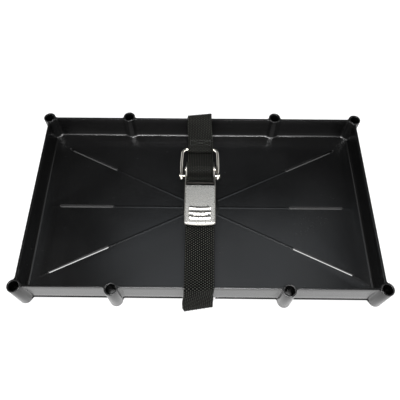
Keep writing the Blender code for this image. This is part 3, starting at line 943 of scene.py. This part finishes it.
def hinge_pin(mat):
    """The pin that the webbing rolls over, with thinner ends and low round heads."""
    ear, arm = EAR_IN - GAP, FLANGE_OUT + GAP
    half = [(PIN_R, 0), (PIN_R, ear - 0.2), (PIN_R - 0.2, ear), (PIN_END_R, ear), (PIN_END_R, arm),
            (PIN_HEAD_R - 0.1, arm), (PIN_HEAD_R, arm + 0.1)]
    half += [(PIN_HEAD_R * cos(a), arm + 0.1 + (PIN_HEAD_T - 0.1) * sin(a)) for a in quarter(6)[1:]]
    profile = [(radius, -x) for radius, x in reversed(half)] + half[1:]
    obj = turned("pin", profile, (WEB_X, *HINGE), "X", 40)
    place(shade(obj), mat, "base", "stainless_wire", "hinge_pin")


def grip_bar(mat):
    """A knurled bar whose turned-down ends sit in the lever's flanges."""
    inner, outer = FLANGE_IN - GAP, FLANGE_OUT + 0.2
    segments = 72
    ends = [(GRIP_END_R * 0.2, -outer), (GRIP_END_R, -outer + 0.1), (GRIP_END_R, -inner),
            (GRIP_R - 0.2, -inner)]
    body = [(None, x) for x in np.linspace(-inner + 0.2, inner - 0.2, 130)]
    rings = []
    for radius, x in ends + body + [(r, -x) for r, x in reversed(ends)]:
        around = []
        for i in range(segments):
            angle = 2 * pi * i / segments
            turns, twist = KNURLS * angle, KNURL_TWIST * x
            tooth = abs(sin(turns + twist)) * abs(sin(turns - twist))
            size = radius or GRIP_R - KNURL_DEPTH * (1 - tooth)
            around.append((WEB_X + x, GRIP.x + size * cos(angle), GRIP.y + size * sin(angle)))
        rings.append(around)
    obj = loft("knurled_bar", rings)
    # The bar's near-black steel colour is painted shade, not a finish.
    place(shade(obj, 60), mat, "lever", "stainless_wire", "grip_bar")


def rivets(mat):
    """The two rivets that join the bail to the lever, with domed heads outside the wire."""
    inside = FLANGE_IN
    for name, side in (("bail_rivet_left", -1), ("bail_rivet_right", 1)):
        neck = LEG_X + WIRE_R + 0.1 + side * BAIL_SLIP
        profile = [(0, inside), (RIVET_R, inside), (RIVET_R, neck), (RIVET_HEAD_R - 0.1, neck),
                   (RIVET_HEAD_R, neck + 0.15)]
        profile += [(RIVET_HEAD_R * cos(a), neck + 0.15 + (RIVET_HEAD_T - 0.15) * sin(a))
                    for a in quarter(7)[1:]]
        obj = turned(f"{name}_domed", [(radius, side * x) for radius, x in profile],
                     (WEB_X, *PIVOT), "X", 36)
        place(shade(obj), mat, "lever", "stainless_wire", name)


def bail(mat):
    """Round wire from one rivet round the cross bar to the other, flattened where it is drilled."""
    along = (BAR - PIVOT).normalized()
    reach = (BAR - PIVOT).length
    turn = BAIL_CORNER_R
    straight = reach - turn
    leg = [(LEG_X + LEG_BOW * sin(pi * max(0.0, run / straight)), run)
           for run in np.linspace(-TAIL, straight, 26)]
    corner = [tuple(point) for point in arc((LEG_X - turn, straight), turn, 0, 90, 10)][1:]
    half = leg + corner
    line = [Vector((x, run)) for x, run in half] + [Vector((-x, run)) for x, run in reversed(half)]
    rise = Vector((0, -along.y, along.x))
    rings = []
    for i, here in enumerate(line):
        way = (line[min(i + 1, len(line) - 1)] - line[max(i - 1, 0)]).normalized()
        side = Vector((way.y, -way.x * along.x, -way.x * along.y))
        spot = PIVOT + along * here.y
        centre = Vector((WEB_X + BAIL_SLIP + here.x, spot.x, spot.y))
        past = max(0.0, -here.y - TAIL + WIRE_END)
        ending = min(1.0, sqrt(max(0.0, 1 - past ** 2 / (WIRE_END ** 2 + 0.01))) + 0.05)
        eye = max(0.0, 1 - (here.y / EYE_R) ** 2)
        wide = ending * (WIRE_R - 0.25 * eye)
        tall = ending * (WIRE_R + (EYE_R - WIRE_R) * sqrt(eye))
        rings.append([centre + side * (wide * cos(a)) + rise * (tall * sin(a))
                      for a in (2 * pi * n / 20 for n in range(20))])
    obj = loft("bail_wire", rings)
    combine(obj, cross_hole(PIVOT, RIVET_R + 0.15), "DIFFERENCE")
    shade(obj, 50)
    place(obj, mat, "bail", "stainless_wire", "bail")


# ---- studio -----------------------------------------------------------------------------------
def camera():
    """The camera looks down on the tray from in front, turned a little to the left."""
    data = bpy.data.cameras.new("camera")
    data.lens = 39.92
    data.sensor_width = 36.0
    data.clip_start = 0.01
    data.clip_end = 50.0
    obj = bpy.data.objects.new("camera", data)
    obj.location = (0.0010, -0.2012, 0.3927)
    dip, turn = radians(61.443), radians(-0.58)
    way = Vector((sin(turn) * cos(dip), cos(turn) * cos(dip), -sin(dip)))
    obj.rotation_euler = way.to_track_quat("-Z", "Y").to_euler()
    bpy.context.scene.collection.objects.link(obj)
    bpy.context.scene.camera = obj


def area_light(name, place_at, aim, size, power, colour=(1, 1, 1)):
    data = bpy.data.lights.new(name, "AREA")
    data.shape = "RECTANGLE"
    data.size, data.size_y = size
    data.energy = power
    data.color = colour
    obj = bpy.data.objects.new(name, data)
    obj.location = place_at
    obj.rotation_euler = (Vector(aim) - Vector(place_at)).to_track_quat("-Z", "Y").to_euler()
    bpy.context.scene.collection.objects.link(obj)


def studio(mat):
    """A light table, a softbox overhead, fills in front and at the sides, and the world."""
    bpy.ops.mesh.primitive_plane_add(size=12.0)
    floor = bpy.context.object
    floor.name = "floor"
    floor.data.materials.append(mat)
    cool = (0.86, 0.93, 1.0)
    area_light("overhead", (0.0, -0.06, 1.2), (0, -0.06, 0), (0.6, 0.13), 15.0)
    area_light("rear_bounce", (0.1, 0.42, 1.2), (0.1, 0.42, 0), (0.8, 0.28), 0.85, cool)
    area_light("front_fill", (0.0, -1.5, 0.9), (0, 0, 0), (2.4, 1.0), 33.0)
    for side in (-1, 1):
        area_light("side_fill", (1.7 * side, -0.2, 0.8), (0, 0, 0), (0.9, 0.9), 14.0)
    world()


def map_range(tree, node, value, low, high, to_low, to_high):
    """Sets a map range node's ends, and gives its result."""
    ends = {"From Min": low, "From Max": high, "To Min": to_low, "To Max": to_high}
    for name, number in ends.items():
        node.inputs[name].default_value = number
    tree.links.new(value, node.inputs["Value"])
    return node.outputs["Result"]


def world():
    """White in front and at both sides, and dark high up behind the tray."""
    bright, dim = 1.0, 0.045
    scene_world = bpy.data.worlds.new("studio")
    bpy.context.scene.world = scene_world
    scene_world.use_nodes = True
    tree = scene_world.node_tree
    where = tree.nodes.new("ShaderNodeTexCoord")
    split = tree.nodes.new("ShaderNodeSeparateXYZ")
    tree.links.new(where.outputs["Generated"], split.inputs[0])

    def fit(value, low, high, to_low, to_high):
        node = tree.nodes.new("ShaderNodeMapRange")
        node.interpolation_type = "SMOOTHSTEP"
        return map_range(tree, node, value, low, high, to_low, to_high)

    wide = tree.nodes.new("ShaderNodeMath")
    wide.operation = "ABSOLUTE"
    tree.links.new(split.outputs["X"], wide.inputs[0])
    brighter = tree.nodes.new("ShaderNodeMath")
    brighter.operation = "MAXIMUM"
    tree.links.new(fit(split.outputs["Y"], -0.35, 0.2, bright, dim), brighter.inputs[0])
    tree.links.new(fit(wide.outputs[0], 0.42, 0.62, dim, bright), brighter.inputs[1])
    tree.links.new(brighter.outputs[0], tree.nodes["Background"].inputs["Strength"])
    tree.nodes["Background"].inputs["Color"].default_value = (1, 1, 1, 1)


# ---- materials --------------------------------------------------------------------------------
class Nodes:
    """A short way to build a material's node tree."""

    def __init__(self, name):
        self.mat = bpy.data.materials.new(name)
        self.mat.use_nodes = True
        self.tree = self.mat.node_tree
        self.shader = self.tree.nodes["Principled BSDF"]
        self.where = self.tree.nodes.new("ShaderNodeTexCoord").outputs["Object"]

    def fixed(self, **values):
        for name, value in values.items():
            self.shader.inputs[name.replace("_", " ")].default_value = value

    def link(self, output, name):
        self.tree.links.new(output, self.shader.inputs[name])

    def stretched(self, scale):
        node = self.tree.nodes.new("ShaderNodeMapping")
        node.inputs["Scale"].default_value = scale
        self.tree.links.new(self.where, node.inputs["Vector"])
        return node.outputs["Vector"]

    def noise(self, scale, detail=3.0, roughness=0.5, distortion=0.0, where=None):
        node = self.tree.nodes.new("ShaderNodeTexNoise")
        node.inputs["Scale"].default_value = scale
        node.inputs["Detail"].default_value = detail
        node.inputs["Roughness"].default_value = roughness
        node.inputs["Distortion"].default_value = distortion
        self.tree.links.new(where or self.where, node.inputs["Vector"])
        return node.outputs["Fac"]

    def fit(self, value, low, high, to_low, to_high):
        node = self.tree.nodes.new("ShaderNodeMapRange")
        return map_range(self.tree, node, value, low, high, to_low, to_high)

    def math(self, operation, first, second):
        node = self.tree.nodes.new("ShaderNodeMath")
        node.operation = operation
        for socket, value in zip(node.inputs, (first, second)):
            if isinstance(value, (int, float)):
                socket.default_value = value
            else:
                self.tree.links.new(value, socket)
        return node.outputs[0]

    def mix(self, share, first, second):
        node = self.tree.nodes.new("ShaderNodeMix")
        node.data_type = "RGBA"
        self.tree.links.new(share, node.inputs[0])
        for socket, value in zip((node.inputs[6], node.inputs[7]), (first, second)):
            if isinstance(value, tuple):
                socket.default_value = (*value, 1)
            else:
                self.tree.links.new(value, socket)
        return node.outputs[2]

    def bump(self, height, distance, strength=1.0, under=None):
        node = self.tree.nodes.new("ShaderNodeBump")
        node.inputs["Distance"].default_value = distance
        node.inputs["Strength"].default_value = strength
        self.tree.links.new(height, node.inputs["Height"])
        if under:
            self.tree.links.new(under, node.inputs["Normal"])
        return node.outputs["Normal"]

    def attribute(self, name):
        node = self.tree.nodes.new("ShaderNodeAttribute")
        node.attribute_name = name
        return node.outputs["Fac"]


def moulded_plastic():
    """Satin black polypropylene: uneven gloss, fine grain, handling scuffs and a little dust."""
    n = Nodes("moulded_black")
    n.fixed(Specular_IOR_Level=0.5, IOR=1.49)
    cloudy = n.noise(14.0, 4, 0.55)
    dusty = n.noise(420.0, 5, 0.7)
    scuff = n.noise(70.0, 6, 0.65, 1.4, n.stretched((1.0, 3.2, 1.0)))
    marks = n.fit(scuff, 0.64, 0.78, 0.0, 1.0)
    dust = n.math("MULTIPLY", n.fit(dusty, 0.52, 0.78, 0.0, 1.0), n.fit(cloudy, 0.35, 0.7, 0.15, 0.7))
    plain = n.mix(cloudy, (0.0010, 0.0010, 0.0011), (0.0017, 0.0017, 0.0017))
    dusted = n.mix(n.math("MULTIPLY", dust, 0.3), plain, (0.007, 0.007, 0.0067))
    n.link(n.mix(n.math("MULTIPLY", marks, 0.3), dusted, (0.006, 0.006, 0.006)), "Base Color")
    rough = n.math("ADD", n.fit(cloudy, 0.3, 0.7, 0.18, 0.25), n.math("MULTIPLY", marks, 0.1))
    n.link(n.math("ADD", rough, n.math("MULTIPLY", dust, 0.08)), "Roughness")
    wavy = n.bump(n.noise(9.0, 2, 0.4), 0.00025)
    grain = n.bump(n.noise(1400.0, 2, 0.5), 0.000025, under=wavy)
    n.link(grain, "Normal")
    return n.mat


def black_webbing():
    """Polypropylene webbing: black between the knuckles, with a dull shine painted into the colour on
    top of them.
    """
    n = Nodes("black_webbing")
    n.fixed(Sheen_Weight=0.01, Sheen_Roughness=0.4, Specular_IOR_Level=0.03)
    height = n.attribute("knuckle")
    # Painted highlight: crown lifts the knuckle tops from near-black to light grey, standing in for
    # light glinting on the yarn.
    crown = n.fit(height, 0.78, 0.96, 0.0, 1.0)
    fibre = n.noise(2600.0, 3, 0.6, where=n.stretched((1.0, 0.3, 0.3)))
    worn = n.noise(60.0, 3, 0.6)
    # top holds the painted highlight greys of the knuckle tops, varied at random.
    top = n.mix(worn, (0.095, 0.097, 0.083), (0.150, 0.152, 0.132))
    body = n.mix(crown, (0.0005, 0.0005, 0.0005), top)
    n.link(n.mix(n.fit(fibre, 0.3, 0.7, 0.0, 0.3), body, (0.001, 0.001, 0.001)), "Base Color")
    rough = n.math("SUBTRACT", n.fit(fibre, 0.3, 0.7, 0.62, 0.78), n.math("MULTIPLY", crown, 0.28))
    n.link(rough, "Roughness")
    n.link(n.bump(fibre, 0.0001), "Normal")
    return n.mat


def thread_material():
    n = Nodes("black_thread")
    n.fixed(Sheen_Weight=0.05)
    twist = n.noise(3500.0, 2, 0.5)
    n.link(n.mix(twist, (0.004, 0.004, 0.0036), (0.014, 0.014, 0.012)), "Base Color")
    n.link(n.fit(twist, 0.3, 0.7, 0.45, 0.65), "Roughness")
    n.link(n.bump(twist, 0.0001), "Normal")
    return n.mat


def steel(name, colour, rough, grain, along):
    """Stainless steel with a fine directional finish, small scratches and faint stains."""
    n = Nodes(name)
    n.fixed(Metallic=1.0)
    brushed = n.noise(grain, 4, 0.6, where=n.stretched(along))
    stain = n.noise(160.0, 4, 0.6)
    crosswise = n.stretched((along[1], along[0], along[2]))
    scratch = n.fit(n.noise(420.0, 3, 0.6, 0.6, crosswise), 0.66, 0.72, 0, 1)
    tint = n.mix(stain, colour, tuple(c * f for c, f in zip(colour, (0.86, 0.84, 0.80))))
    n.link(n.mix(n.math("MULTIPLY", scratch, 0.25), tint, (0.42, 0.40, 0.37)), "Base Color")
    spread = n.fit(brushed, 0.25, 0.75, rough - 0.015, rough + 0.025)
    n.link(n.math("ADD", spread, n.math("MULTIPLY", scratch, 0.08)), "Roughness")
    n.link(n.bump(brushed, 0.0000015), "Normal")
    return n.mat


def floor_material():
    """A white light table."""
    n = Nodes("light_table")
    n.fixed(Roughness=0.9, Specular_IOR_Level=0.1, Emission_Strength=0.78)
    n.fixed(Emission_Color=(1, 1, 1, 1))
    n.link(n.mix(n.noise(3.0, 2), (0.22, 0.22, 0.22), (0.24, 0.24, 0.24)), "Base Color")
    return n.mat


def build():
    bpy.context.scene.view_settings.view_transform = "Standard"
    camera()
    studio(floor_material())
    tray(moulded_plastic())
    webbing = black_webbing()
    strap_wrap(webbing)
    strap_span(webbing)
    strap_loop(webbing)
    stitching(thread_material())
    sheet = steel("satin_sheet", (0.31, 0.303, 0.288), 0.27, 1600.0, (0.6, 1.0, 1.0))
    wire = steel("bright_wire", (0.70, 0.68, 0.64), 0.16, 1200.0, (1.0, 0.2, 1.0))
    # Painted shade: the knurled bar lies in shade behind the lever's plate, so its steel is given a
    # near-black colour.
    dark = steel("steel_painted_dark_for_shade", (0.020, 0.019, 0.018), 0.42, 1500.0, (1.0, 0.6, 1.0))
    lever(sheet)
    softened("buckle_frame", 0.15, sheet, "base", "stainless_sheet")
    hinge_pin(wire)
    grip_bar(dark)
    rivets(wire)
    bail(wire)


build()
